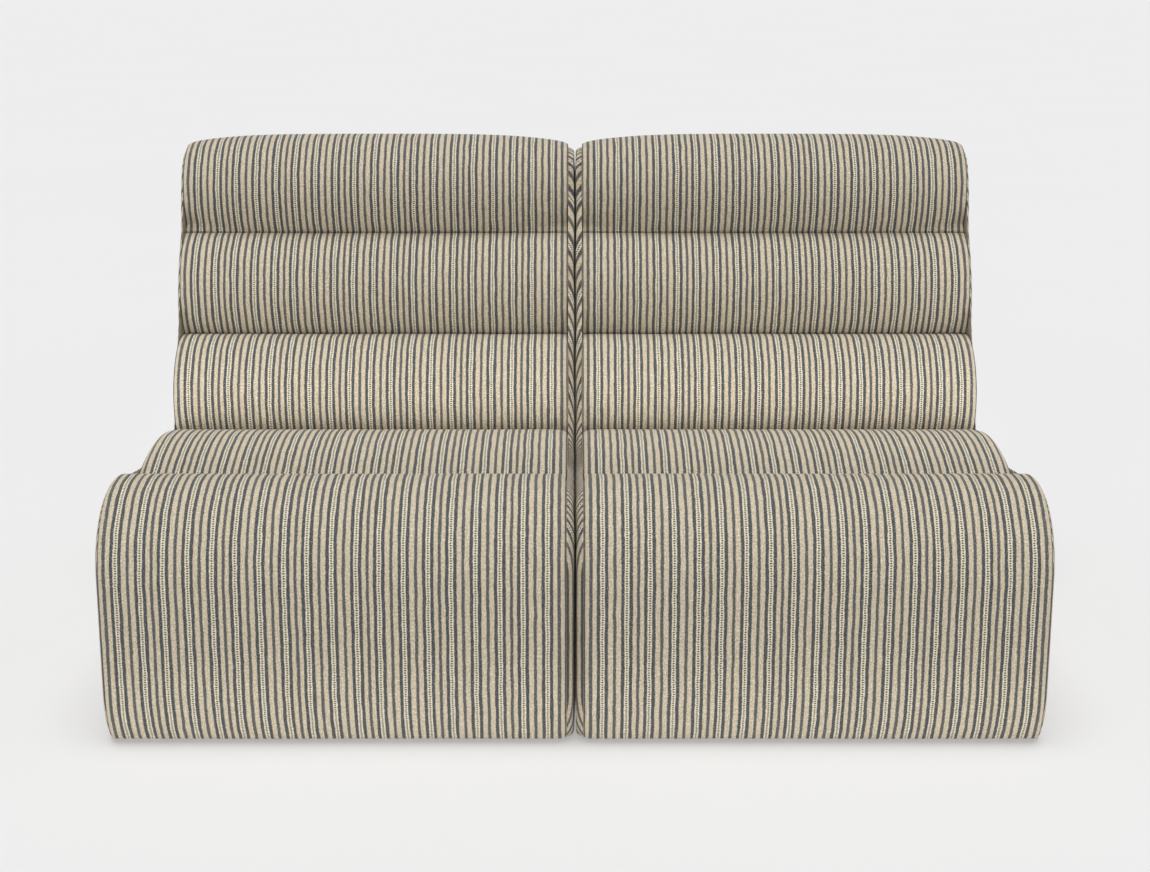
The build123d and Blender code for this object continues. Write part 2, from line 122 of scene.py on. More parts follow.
def plywood(name, through, grain):
    """Birch plywood, with its plies stacked along one axis and its face grain along another."""
    material, _, add, to_shader = new_finish(name, roughness=0.6)
    place = add("TexCoord").outputs["Object"]
    axis = add("SeparateXYZ", {0: place}).outputs[through]
    plies = maths(add, "PINGPONG", axis, PLY)
    lines = flecks(add, place, drawn_out(grain, FACE_GRAIN_ALONG, FACE_GRAIN_ACROSS))
    layer = spread(add, plies, PLY * 0.35, PLY * 0.65, 0.0, 0.35)
    shade = maths(add, "ADD", layer, spread(add, lines, 0.35, 0.75, 0.0, 0.6))
    to_shader("Base Color", mixed(add, shade, BIRCH_PALE, BIRCH_BROWN))
    to_shader("Roughness", spread(add, lines, 0.3, 0.7, 0.5, 0.7))
    raised(add, to_shader, lines, FACE_RELIEF)
    return material


def coat(material, *nodes):
    """Gives CAD nodes of both modules a material."""
    for side in SIDES:
        for node in nodes:
            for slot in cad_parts[f"{side}_{node}"].material_slots:
                slot.material = material


coat(plywood("birch_plywood_sides", through=X, grain=Y), "outer_side_frame", "inner_side_frame")
coat(plywood("birch_plywood_front", through=Y, grain=X), "front_board")
coat(plywood("birch_plywood_head", through=Z, grain=X), "head_board")


# Beech rails, corner blocks and link battens: planed solid beech, screwed between the side frames.
# Beech is a pinkish straw colour with short dark flecks along the grain.

BEECH_PALE = (0.58, 0.37, 0.22, 1)
BEECH_FLECK = (0.34, 0.18, 0.09, 1)
GROWTH_ALONG, GROWTH_ACROSS = 2.5, 45.0
PORES_ALONG, PORES_ACROSS = 60.0, 900.0
PORE_RELIEF = 0.0002


def beech(name, grain):
    """Planed beech with its grain along one axis."""
    material, _, add, to_shader = new_finish(name, roughness=0.5)
    place = add("TexCoord").outputs["Object"]
    growth = flecks(add, place, drawn_out(grain, GROWTH_ALONG, GROWTH_ACROSS))
    pores = flecks(add, place, drawn_out(grain, PORES_ALONG, PORES_ACROSS), detail=1.0)
    fleck = spread(add, pores, 0.56, 0.7, 0.0, 0.7)
    shade = maths(add, "ADD", spread(add, growth, 0.3, 0.7, 0.0, 0.5), fleck)
    to_shader("Base Color", mixed(add, shade, BEECH_PALE, BEECH_FLECK))
    to_shader("Roughness", spread(add, growth, 0.3, 0.7, 0.42, 0.58))
    raised(add, to_shader, pores, PORE_RELIEF)
    return material


coat(
    beech("beech_along_sofa", grain=X), "seat_front_rail", "seat_rear_rail", "back_lower_rail",
    "back_top_rail", "base_rear_rail", "corner_blocks",
)
coat(beech("beech_front_to_back", grain=Y), "link_batten")


# Screws, webbing clips and link tongues: zinc-plated steel, turned or pressed. The plating is dull
# silver with a slightly uneven, brushed sheen.

ZINC_BRIGHT = (0.62, 0.63, 0.62, 1)
ZINC_DULL = (0.42, 0.43, 0.44, 1)
ZINC_CLOUDS = (140.0, 140.0, 140.0)
ZINC_BRUSHING = (60.0, 1800.0, 1800.0)
ZINC_RELIEF = 0.00005


def zinc_plate():
    """Zinc-plated steel."""
    material, _, add, to_shader = new_finish("zinc_plated_steel", roughness=0.4, metal=1.0)
    place = add("TexCoord").outputs["Object"]
    cloud = flecks(add, place, ZINC_CLOUDS)
    brushed = flecks(add, place, ZINC_BRUSHING, detail=1.0)
    to_shader("Base Color", mixed(add, spread(add, cloud, 0.35, 0.65), ZINC_BRIGHT, ZINC_DULL))
    to_shader("Roughness", spread(add, brushed, 0.3, 0.7, 0.3, 0.5))
    raised(add, to_shader, brushed, ZINC_RELIEF)
    return material


zinc = zinc_plate()
coat(zinc, "frame_screws", "base_screws", "webbing_clips")
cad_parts["right_link_tongues"].material_slots[0].material = zinc


# Elastic webbing under the seat and behind the back: flat woven straps, stretched between the rails
# and held by steel clips. The weave runs in fine ribs along each strap.

WEBBING_DARK = (0.018, 0.017, 0.016, 1)
WEBBING_PALE = (0.060, 0.056, 0.050, 1)
WEBBING_RIB = 0.0016
WEBBING_FUZZ = (500.0, 500.0, 500.0)
WEBBING_RELIEF = 0.0004


def strap_weave():
    """Ribbed elastic webbing."""
    material, _, add, to_shader = new_finish("elastic_webbing", roughness=0.85)
    place = add("TexCoord").outputs["Object"]
    parts = add("SeparateXYZ", {0: place})
    rib = maths(add, "PINGPONG", parts.outputs["X"], WEBBING_RIB / 2)
    pick = maths(add, "PINGPONG", parts.outputs["Y"], WEBBING_RIB)
    fuzz = flecks(add, place, WEBBING_FUZZ)
    weave = spread(add, maths(add, "ADD", rib, pick), 0.0, WEBBING_RIB * 1.4)
    share = maths(add, "MULTIPLY", weave, fuzz)
    to_shader("Base Color", mixed(add, share, WEBBING_DARK, WEBBING_PALE))
    raised(add, to_shader, weave, WEBBING_RELIEF)
    return material


coat(strap_weave(), "seat_webbing", "back_webbing")


# Foam cores: slabs of upholstery foam, cut square and laid on the webbing under the rolls. The cut
# faces are pale straw with open cells about a millimetre across.

FOAM_PALE = (0.80, 0.70, 0.46, 1)
FOAM_CELL = (0.58, 0.47, 0.26, 1)
FOAM_CELLS_PER_METRE = 800.0
FOAM_TINT = (30.0, 30.0, 30.0)
FOAM_RELIEF = 0.0006


def cut_foam():
    """Open-celled upholstery foam."""
    material, _, add, to_shader = new_finish("cut_foam", roughness=0.95)
    place = add("TexCoord").outputs["Object"]
    cells = add("TexVoronoi", {"Vector": place, "Scale": FOAM_CELLS_PER_METRE}).outputs["Distance"]
    tint = flecks(add, place, FOAM_TINT)
    hollow = maths(add, "MULTIPLY", spread(add, cells, 0.2, 0.7), tint)
    to_shader("Base Color", mixed(add, hollow, FOAM_PALE, FOAM_CELL))
    raised(add, to_shader, cells, FOAM_RELIEF)
    return material


coat(cut_foam(), "seat_foam", "back_foam")


# Dust covers: black bonded cloth, stapled flat under each module. Its fibres lie in all directions
# and leave it slightly blotchy.

DUST_BLACK = (0.012, 0.012, 0.013, 1)
DUST_GREY = (0.045, 0.045, 0.046, 1)
DUST_FIBRES_PER_METRE = 420.0
DUST_BLOTCHES = (40.0, 40.0, 40.0)
DUST_RELIEF = 0.0002


def bonded_cloth():
    """Thin bonded cloth of tangled fibres."""
    material, _, add, to_shader = new_finish("bonded_dust_cloth", roughness=0.9)
    place = add("TexCoord").outputs["Object"]
    fibres = add(
        "TexVoronoi", {"Vector": place, "Scale": DUST_FIBRES_PER_METRE}, feature="DISTANCE_TO_EDGE",
    )
    thread = spread(add, fibres.outputs["Distance"], 0.0, 0.12, 1.0, 0.0)
    blotch = flecks(add, place, DUST_BLOTCHES)
    share = maths(add, "MULTIPLY", thread, blotch)
    to_shader("Base Color", mixed(add, share, DUST_BLACK, DUST_GREY))
    raised(add, to_shader, thread, DUST_RELIEF)
    return material


coat(bonded_cloth(), "dust_cover")


# Floor glides and link sockets: moulded black plastic, screwed up into the base. The mould leaves a
# fine matt grain, and the feet are rubbed a little shinier.

PLASTIC_BLACK = (0.016, 0.016, 0.017, 1)
PLASTIC_WORN = (0.045, 0.045, 0.046, 1)
PLASTIC_GRAIN = (2200.0, 2200.0, 2200.0)
PLASTIC_SCUFFS = (90.0, 260.0, 90.0)
PLASTIC_RELIEF = 0.0001


def moulded_plastic():
    """Matt moulded plastic, scuffed in places."""
    material, _, add, to_shader = new_finish("moulded_black_plastic", roughness=0.5)
    place = add("TexCoord").outputs["Object"]
    grain = flecks(add, place, PLASTIC_GRAIN, detail=1.0)
    scuff = spread(add, flecks(add, place, PLASTIC_SCUFFS), 0.55, 0.75)
    to_shader("Base Color", mixed(add, scuff, PLASTIC_BLACK, PLASTIC_WORN))
    to_shader("Roughness", spread(add, scuff, 0.0, 1.0, 0.55, 0.35))
    raised(add, to_shader, grain, PLASTIC_RELIEF)
    return material


plastic = moulded_plastic()
coat(plastic, "glides")
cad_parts["left_link_sockets"].material_slots[0].material = plastic


# Ticking: the linen and cotton cover cloth. Beige linen with charcoal stripes in pairs round a
# cream band, which has one dotted thread, and a softer single stripe between the pairs.

TICKING_TURN = 0.0997
TICKING_HALF = 0.056385
STRIPE = 0.0054
SINGLE_STRIPE = 0.0050
STRIPE_EDGE = 0.0012
PAIR_PLACES = (0.0116, 0.0244, 0.0500)
SINGLE_PLACES = (0.0, 0.0372)
THREAD_PLACES = (0.0180, TICKING_HALF)
THREAD = 0.0028
DOT_PITCH = 0.0040
DOT_START, DOT_FULL = 0.16, 0.30
WANDER, WANDER_LUMPS = 0.0032, (70.0, 24.0, 0.0)
FRAY, FRAY_LUMPS = 0.0022, (380.0, 250.0, 0.0)
WARP_SLUBS = (900.0, 40.0, 0.0)
WEFT_SLUBS = (45.0, 900.0, 0.0)
YARN_LOW, YARN_HIGH = 0.75, 1.25
SPECKS = (520.0, 380.0, 0.0)
TONES = (520.0, 300.0, 0.0)
DARKER, PALER = 0.72, 1.28
WEAVE = (900.0, 1000.0, 0.0)
WEAVE_RELIEF, WEAVE_STRENGTH = 0.0005, 0.5
SHEEN, SHEEN_ROUGHNESS = 0.08, 0.5


def dyed(red, green, blue):
    """A yarn's colour as the eye names it, 0 to 255, in the shader's own units."""
    return tuple(
        v / 12.92 if v <= 0.04045 else ((v + 0.055) / 1.055) ** 2.4
        for v in (red / 255, green / 255, blue / 255)
    ) + (1,)


BEIGE = dyed(195, 181, 155)
BEIGE_PALE = dyed(218, 205, 181)
CREAM = dyed(225, 215, 192)
CHARCOAL = dyed(68, 71, 75)
CHARCOAL_SPECK = dyed(132, 132, 128)
SOFT_CHARCOAL = dyed(84, 85, 86)
DOT_BROWN = dyed(34, 29, 25)


def ticking_ramp(add, place):
    """Half a pattern as masks: red paired stripes, green single ones, blue cream, alpha thread."""
    beige, pair, single, cream = (0, 0, 0, 0), (1, 0, 0, 0), (0, 1, 0, 0), (0, 0, 1, 0)
    thread = (0, 0, 1, 1)
    half, single_half, thread_half = STRIPE / 2, SINGLE_STRIPE / 2, THREAD / 2
    changes = [
        (SINGLE_PLACES[0] + single_half, single, beige),
        (PAIR_PLACES[0] - half, beige, pair),
        (PAIR_PLACES[0] + half, pair, cream),
        (THREAD_PLACES[0] - thread_half, cream, thread),
        (THREAD_PLACES[0] + thread_half, thread, cream),
        (PAIR_PLACES[1] - half, cream, pair),
        (PAIR_PLACES[1] + half, pair, beige),
        (SINGLE_PLACES[1] - single_half, beige, single),
        (SINGLE_PLACES[1] + single_half, single, beige),
        (PAIR_PLACES[2] - half, beige, pair),
        (PAIR_PLACES[2] + half, pair, cream),
        (THREAD_PLACES[1] - thread_half, cream, thread),
    ]
    stops = []
    for at, before, after in changes:
        stops += [(at - STRIPE_EDGE / 2, before), (at + STRIPE_EDGE / 2, after)]
    ramp = add("ValToRGB", {"Fac": maths(add, "DIVIDE", place, TICKING_HALF)})
    elements = ramp.color_ramp.elements
    elements.remove(elements[1])
    for index, (at, mask) in enumerate(stops):
        element = elements[0] if index == 0 else elements.new(at / TICKING_HALF)
        element.position = at / TICKING_HALF
        element.color = mask
    return ramp


def woven_ticking():
    """The cover cloth; each piece says where a point lies across and along its cloth."""
    material, shader, add, to_shader = new_finish("linen_ticking", roughness=0.9)
    across = add("Attribute", attribute_name="across").outputs["Fac"]
    along = add("Attribute", attribute_name="along").outputs["Fac"]
    cloth = add("CombineXYZ", {"X": across, "Y": along}).outputs[0]

    shifted = across
    for reach, lumps in ((WANDER, WANDER_LUMPS), (FRAY, FRAY_LUMPS)):
        stray = maths(add, "SUBTRACT", flecks(add, cloth, lumps, detail=2.0), 0.5)
        shifted = maths(add, "MULTIPLY_ADD", stray, reach, shifted)
    turned = maths(add, "SUBTRACT", shifted, TICKING_TURN)
    ramp = ticking_ramp(add, maths(add, "PINGPONG", turned, TICKING_HALF))
    masks = add("SeparateColor", {0: ramp.outputs["Color"]})

    warp = flecks(add, cloth, WARP_SLUBS, detail=2.0)
    weft = flecks(add, cloth, WEFT_SLUBS, detail=2.0)
    yarn = maths(add, "ADD", warp, weft)
    linen = mixed(add, spread(add, yarn, YARN_LOW, YARN_HIGH), BEIGE, BEIGE_PALE)
    speck = spread(add, flecks(add, cloth, SPECKS, detail=2.0), 0.5, 0.72)
    charcoal = mixed(add, speck, CHARCOAL, CHARCOAL_SPECK)
    soft = mixed(add, speck, SOFT_CHARCOAL, CHARCOAL_SPECK)
    wave = maths(add, "PINGPONG", along, DOT_PITCH / 2)
    dots = spread(add, wave, DOT_PITCH * DOT_START, DOT_PITCH * DOT_FULL)
    dotted = maths(add, "MULTIPLY", dots, ramp.outputs["Alpha"])
    colour = mixed(add, masks.outputs["Blue"], linen, CREAM)
    colour = mixed(add, dotted, colour, DOT_BROWN)
    colour = mixed(add, masks.outputs["Green"], colour, soft)
    colour = mixed(add, masks.outputs["Red"], colour, charcoal)
    tone = spread(add, flecks(add, cloth, TONES, detail=2.0), 0.25, 0.75, DARKER, PALER)
    to_shader("Base Color", add("HueSaturation", {"Color": colour, "Value": tone}).outputs[0])

    to_shader("Roughness", spread(add, yarn, YARN_LOW, YARN_HIGH, 0.95, 0.82))
    shader.inputs["Sheen Weight"].default_value = SHEEN
    shader.inputs["Sheen Roughness"].default_value = SHEEN_ROUGHNESS
    relief = maths(add, "ADD", flecks(add, cloth, WEAVE, detail=1.0), yarn)
    raised(add, to_shader, relief, WEAVE_RELIEF, WEAVE_STRENGTH)
    return material


ticking = woven_ticking()


# Rolls: stuffed channels of ticking over foam and wadding. Two cross the seat and three the back,
# sewn down at the creases between them. At their ends the cloth turns a round edge into a seam.

CREST = 0.414
EDGE_RADIUS = 0.134
EDGE_FLAT = 0.016
TUCK_DEPTH, TUCK_HEIGHT = 0.032, 0.092
CLOTH_BOTTOM = 0.006
CREASE_DROP = 0.067
SEAT_CHANNEL, SEAT_RISE = 0.401, 0.058
LOWER_CHANNEL, LOWER_LEAN, LOWER_RISE = 0.212, 30.3, 0.082
MIDDLE_CHANNEL, MIDDLE_LEAN, MIDDLE_RISE = 0.197, 17.0, 0.059
TOP_RADIUS, TOP_TILT = 0.109, 40.8
TOP_CROWN = 0.016
END_REACH = 0.0055
FRONT_PAD = 0.055
SEAT_UNDERLAY = 0.017
BACK_UNDERLAY = 0.020
BACK_PAD = 0.008

roll_low, roll_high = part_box("left_front_seat_roll")
ROLL_OUTER, ROLL_INNER = roll_low.x - END_REACH, roll_high.x
FRONT = roll_low.y


def polar(centre, radius, degrees):
    """A side-view point at an angle from the rearward direction, turning upward."""
    angle = math.radians(degrees)
    return centre + Vector((math.cos(angle), math.sin(angle))) * radius


edge_axis = Vector((FRONT + EDGE_RADIUS, CREST - EDGE_RADIUS))
rear_edge_axis = edge_axis + Vector((EDGE_FLAT, 0))
crease_angle = math.degrees(math.asin(1 - CREASE_DROP / EDGE_RADIUS))
seat_crease = polar(rear_edge_axis, EDGE_RADIUS, crease_angle)
back_crease = seat_crease + Vector((SEAT_CHANNEL, 0))
lower_crease = polar(back_crease, LOWER_CHANNEL, 90 - LOWER_LEAN)
upper_crease = polar(lower_crease, MIDDLE_CHANNEL, 90 - MIDDLE_LEAN)
top_axis = polar(upper_crease, TOP_RADIUS, TOP_TILT)
seat_plane = seat_crease.y - SEAT_UNDERLAY
frame_back = top_axis.x + TOP_RADIUS - TOP_CROWN - BACK_PAD

back_up = (upper_crease - back_crease).normalized()
back_out = Vector((back_up.y, -back_up.x))
back_setback = BACK_UNDERLAY + max(
    (crease - back_crease).dot(back_out) for crease in (back_crease, lower_crease, upper_crease)
)


def behind(crease):
    """The point straight behind a crease where the rolls rest on the back."""
    return crease + back_out * (back_setback - (crease - back_crease).dot(back_out))


def back_at(height):
    """The point of that plane at a height."""
    start = behind(back_crease)
    return start + back_up * ((height - start.y) / back_up.y)


def ring(centre, radius, start, end, steps=48):
    """Points on an arc about a centre."""
    return [polar(centre, radius, start + (end - start) * i / steps) for i in range(steps + 1)]


def bowed(start, end, rise):
    """Points on the arc of a channel over the line between its creases."""
    half = (end - start).length / 2
    radius = (half ** 2 + rise ** 2) / (2 * rise)
    across = (end - start).normalized()
    outward = Vector((-across.y, across.x))
    centre = (start + end) / 2 + outward * (rise - radius)
    swing = math.degrees(math.atan2(half, radius - rise))
    middle = math.degrees(math.atan2(outward.y, outward.x))
    return ring(centre, radius, middle + swing, middle - swing)


NO_LENGTH = 1e-9


def spaced(points, count):
    """The same line with its points evenly spaced, and its length."""
    lengths = [0.0]
    for a, b in zip(points, points[1:]):
        lengths.append(lengths[-1] + (b - a).length)
    even = []
    at = 0
    for i in range(count + 1):
        want = lengths[-1] * i / count
        while at < len(points) - 2 and lengths[at + 1] < want:
            at += 1
        part = (want - lengths[at]) / max(lengths[at + 1] - lengths[at], NO_LENGTH)
        even.append(points[at].lerp(points[at + 1], min(part, 1.0)))
    return even, lengths[-1]


def made_up(bm, name):
    """A new piece from a closed form."""
    bmesh.ops.recalc_face_normals(bm, faces=bm.faces)
    mesh = bpy.data.meshes.new(name)
    bm.to_mesh(mesh)
    bm.free()
    piece = bpy.data.objects.new(name, mesh)
    bpy.context.scene.collection.objects.link(piece)
    return piece


def stuffed_skin(name, counts, place):
    """A closed skin over the six sides of a bent block; place gives a point, across and along."""
    bm = bmesh.new()
    across_layer = bm.verts.layers.float.new("across")
    along_layer = bm.verts.layers.float.new("along")
    made = {}

    def point(*key):
        if key not in made:
            co, across, along = place(*key)
            made[key] = bm.verts.new(co)
            made[key][across_layer] = across
            made[key][along_layer] = along
        return made[key]

    for fixed in range(3):
        a, b = [axis for axis in range(3) if axis != fixed]
        for end in (0, counts[fixed]):
            for i in range(counts[a]):
                for j in range(counts[b]):
                    corners = []
                    for da, db in ((0, 0), (1, 0), (1, 1), (0, 1)):
                        key = [0, 0, 0]
                        key[fixed], key[a], key[b] = end, i + da, j + db
                        corners.append(point(*key))
                    bm.faces.new(corners)
    piece = made_up(bm, name)
    sewn = piece.vertex_groups.new(name="sewn")
    for index, (i, j, k) in enumerate(made):
        free = k == 0 and 0 < i < counts[0] and 0 < j < counts[1]
        sewn.add([index], 0.0 if free else 1.0, "REPLACE")
    return piece


SWELL = 0.0015
SLACK = 0.0003
CLOTH_QUALITY = 4
CLOTH_MASS = 0.25
CLOTH_STEPS = 20


def swollen(piece, pressure):
    """Blows a piece up as cloth, held where it is sewn, and keeps a little of the movement."""
    scene = bpy.context.scene
    cloth = piece.modifiers.new("filling", "CLOTH")
    settings = cloth.settings
    settings.quality = CLOTH_QUALITY
    settings.mass = CLOTH_MASS
    settings.vertex_group_mass = "sewn"
    settings.use_pressure = True
    settings.uniform_pressure_force = pressure
    settings.effector_weights.gravity = 0.0
    cloth.collision_settings.use_collision = False
    cloth.collision_settings.use_self_collision = False
    cloth.point_cache.frame_start = 1
    cloth.point_cache.frame_end = CLOTH_STEPS
    for step in range(1, CLOTH_STEPS + 1):
        scene.frame_set(step)
    blown = piece.evaluated_get(bpy.context.evaluated_depsgraph_get()).data
    places = [vertex.co.copy() for vertex in blown.vertices]
    piece.modifiers.remove(cloth)
    normals = [vertex.normal.copy() for vertex in piece.data.vertices]
    for vertex, normal, after in zip(piece.data.vertices, normals, places):
        filled = (after - vertex.co).dot(normal)
        vertex.co += normal * min(max(filled, -SLACK), SWELL)
    scene.frame_set(1)


UNEVENNESS = 0.0007
BROAD_LUMPS, BROAD_SHARE = 7.0, 0.7
FINE_LUMPS, FINE_SHARE = 22.0, 0.3


def lively(piece):
    """The slight unevenness of stuffing under the cloth."""
    mesh = piece.data
    normals = [vertex.normal.copy() for vertex in mesh.vertices]
    for vertex, normal in zip(mesh.vertices, normals):
        broad = noise.noise(vertex.co * BROAD_LUMPS)
        fine = noise.noise(vertex.co * FINE_LUMPS)
        vertex.co += normal * UNEVENNESS * (BROAD_SHARE * broad + FINE_SHARE * fine)


def mirrored(piece, name):
    """The same piece for the other module."""
    mesh = piece.data.copy()
    bm = bmesh.new()
    bm.from_mesh(mesh)
    for vertex in bm.verts:
        vertex.co.x = -vertex.co.x
    bmesh.ops.reverse_faces(bm, faces=bm.faces)
    bm.to_mesh(mesh)
    bm.free()
    twin = bpy.data.objects.new(name, mesh)
    bpy.context.scene.collection.objects.link(twin)
    return twin


def upholster(piece, side, node):
    """Puts a finished soft piece on its module, in ticking."""
    piece.vertex_groups.clear()
    for polygon in piece.data.polygons:
        polygon.use_smooth = True
    piece.data.materials.clear()
    piece.data.materials.append(ticking)
    smooth = piece.modifiers.new("smooth_cloth", "SUBSURF")
    smooth.levels = 1
    smooth.render_levels = 1
    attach(piece, f"{side}_module")
    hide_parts(f"{side}_{node}")


END_ROUND = 0.012
SEAT_END_ROUND = 0.020
END_DOME = 0.002
END_TURNS = 6
CROWNED_END_DRAW = 0.25
CROWN_CURVE = 4
ROLL_COLUMN = 0.010
ROLL_ROW = 0.007
ROLL_LAYERS = 3


def end_columns(end_round):
    """Places round a roll's end: how far in from it, how far drawn in, and how far across."""
    columns = []
    for i in range(END_TURNS):
        angle = math.radians(90 * (1 - i / END_TURNS))
        inward = end_round * (1 - math.sin(angle))
        columns.append((inward, end_round * (1 - math.cos(angle)), end_round * (1 - angle)))
    return columns


def roll(
    node, section, base, start_along, pressure,
    crowned=False, swell=SWELL, end_round=END_ROUND,
):
    """One stuffed roll of the left module and its mirror image on the right."""
    length = ROLL_INNER - ROLL_OUTER
    straight = length - end_round - END_ROUND
    inner_count = round(straight / ROLL_COLUMN)
    columns = []
    for inward, drawn, across in end_columns(end_round):
        columns.append((ROLL_OUTER + inward, drawn, ROLL_OUTER + across))
    for i in range(inner_count + 1):
        x = ROLL_OUTER + end_round + straight * i / inner_count
        columns.append((x, 0.0, x))
    for inward, drawn, across in reversed(end_columns(END_ROUND)):
        columns.append((ROLL_INNER - inward, drawn, ROLL_INNER - across))
    _, run = spaced(section(0.0), 1)
    rows = round(run / ROLL_ROW)
    base_line, _ = spaced(base, rows)
    middle = (ROLL_OUTER + ROLL_INNER) / 2
    lines = []
    for x, drawn, _ in columns:
        if crowned:
            share = abs(x - middle) / (length / 2)
            drawn = drawn * CROWNED_END_DRAW + TOP_CROWN * share ** CROWN_CURVE
        lines.append(spaced(section(drawn + swell), rows)[0])

    def place(i, j, k):
        x, _, across = columns[i]
        outer, inner = lines[i][j], base_line[j]
        point = outer.lerp(inner, k / ROLL_LAYERS)
        if i in (0, len(columns) - 1):
            outward = -1 if i == 0 else 1
            x += outward * END_DOME * math.sin(math.pi * k / ROLL_LAYERS)
            across += outward * (point - outer).length
        return Vector((x, point.x, point.y)), abs(across), start_along + run * j / rows

    name = node.removesuffix("_cover") + "_ticking"
    piece = stuffed_skin("left_" + name, (len(columns) - 1, rows, ROLL_LAYERS), place)
    swollen(piece, pressure)
    lively(piece)
    twin = mirrored(piece, "right_" + name)
    upholster(piece, "left", node)
    upholster(twin, "right", node)
    return start_along + run


def floor_tuck(drawn, bottom):
    """The arc by which the front draws in towards the floor, from its bottom up."""
    fall = TUCK_HEIGHT - CLOTH_BOTTOM
    radius = (TUCK_DEPTH ** 2 + fall ** 2) / (2 * TUCK_DEPTH)
    axis = Vector((FRONT + drawn + radius, TUCK_HEIGHT))
    start = 180 + math.degrees(math.asin((TUCK_HEIGHT - bottom) / radius))
    return ring(axis, radius, start, 180)


def front_section(drawn):
    """Waterfall roll: up from the floor tuck, round the front edge and down to the seat crease."""
    edge = ring(edge_axis, EDGE_RADIUS - drawn, 180, 90)
    shoulder = ring(rear_edge_axis, EDGE_RADIUS - drawn, 90, crease_angle)
    return floor_tuck(drawn, CLOTH_BOTTOM) + edge + shoulder[:-1] + [seat_crease]


def channel(start, end, rise):
    """Section of a channel between two creases."""
    return lambda drawn: bowed(start, end, rise - drawn)


def top_section(drawn):
    """The roll that wraps over the head of the back, from the upper crease to the back seam."""
    around = ring(top_axis, TOP_RADIUS - drawn, 180 + TOP_TILT, 0, steps=96)
    return [upper_crease] + around[1:]


seat_corner = back_at(seat_plane)
run_along = roll(
    "front_seat_roll", front_section,
    [Vector((FRONT + FRONT_PAD, CLOTH_BOTTOM)), Vector((FRONT + FRONT_PAD, seat_plane)),
     Vector((seat_crease.x, seat_plane))],
    start_along=0.0, pressure=0.3, swell=0.0,
)
run_along = roll(
    "rear_seat_roll", channel(seat_crease, back_crease, SEAT_RISE),
    [Vector((seat_crease.x, seat_plane)), seat_corner],
    start_along=run_along, pressure=14.0, end_round=SEAT_END_ROUND,
)
run_along = roll(
    "lower_back_roll", channel(back_crease, lower_crease, LOWER_RISE),
    [seat_corner, behind(lower_crease)],
    start_along=run_along, pressure=190.0,
)
run_along = roll(
    "middle_back_roll", channel(lower_crease, upper_crease, MIDDLE_RISE),
    [behind(lower_crease), behind(upper_crease)],
    start_along=run_along, pressure=160.0,
)
roll(
    "top_back_roll", top_section,
    [behind(upper_crease), back_at(top_axis.y), Vector((frame_back, top_axis.y))],
    start_along=run_along, pressure=200.0, crowned=True,
)


# Side covers: padded ticking panels over the plywood sides, cut plain inside the rolls' outline and
# sewn round the edge, with the stripes upright. They dome out softly from the seam, and the outer
# ones are gathered in a little where the creases of the rolls end.

SIDE_FACE = 0.0021
SIDE_DOME = 0.018
SIDE_FULLNESS = 1.6
SIDE_SETBACK = 0.010
SIDE_SEAT_FALL = 7.5
SIDE_CORNER = 0.090
SIDE_TOP_SETBACK = 0.019
SIDE_REAR_SETBACK = 0.004
SIDE_TOP_LIFT = 0.009
SIDE_TOP_PLUMP = 0.38
SIDE_BOTTOM = 0.004
SIDE_BOTTOM_TURN = 0.06
LINK_ROOM = 0.010
LINK_ROOM_START = 0.075
GATHER_SHARES = (0.6, 0.5, 0.7, 0.45)
GATHER_REACH = 0.045
GATHER_AHEAD = 0.025

side_top_radius = TOP_RADIUS - TOP_CROWN - SIDE_TOP_SETBACK
side_top_axis = top_axis + back_up * SIDE_TOP_LIFT
side_rear_axis = Vector((top_axis.x + SIDE_TOP_SETBACK - SIDE_REAR_SETBACK, side_top_axis.y))
back_lean = math.degrees(math.atan2(back_up.x, back_up.y))
creases = (seat_crease, back_crease, lower_crease, upper_crease)
gathers = [
    (crease - back_out * GATHER_AHEAD, share) for crease, share in zip(creases, GATHER_SHARES)
]


def fullness(yz):
    """How much of its padding an outer panel keeps where the creases of the rolls pull it in."""
    return 1 - sum(
        share * math.exp(-((yz - at).length / GATHER_REACH) ** 2) for at, share in gathers
    )


def side_corner_axis():
    """Centre of the round corner between the seat line and the leaning edge."""
    seat = polar(Vector((0, 0)), 1, 90 - SIDE_SEAT_FALL)
    back = polar(Vector((0, 0)), 1, 180 - back_lean)
    seat_reach = edge_axis.dot(seat) + EDGE_RADIUS - SIDE_SETBACK + SIDE_CORNER
    back_reach = top_axis.dot(back) + side_top_radius + SIDE_CORNER
    across = seat.x * back.y - seat.y * back.x
    return Vector((
        (seat_reach * back.y - back_reach * seat.y) / across,
        (back_reach * seat.x - seat_reach * back.x) / across,
    ))


ARC_STEPS = (10, 24, 16, 14, 14)
LINE_STEPS = (24, 50, 46, 2, 78)
LOW_EDGE_STEPS = 90


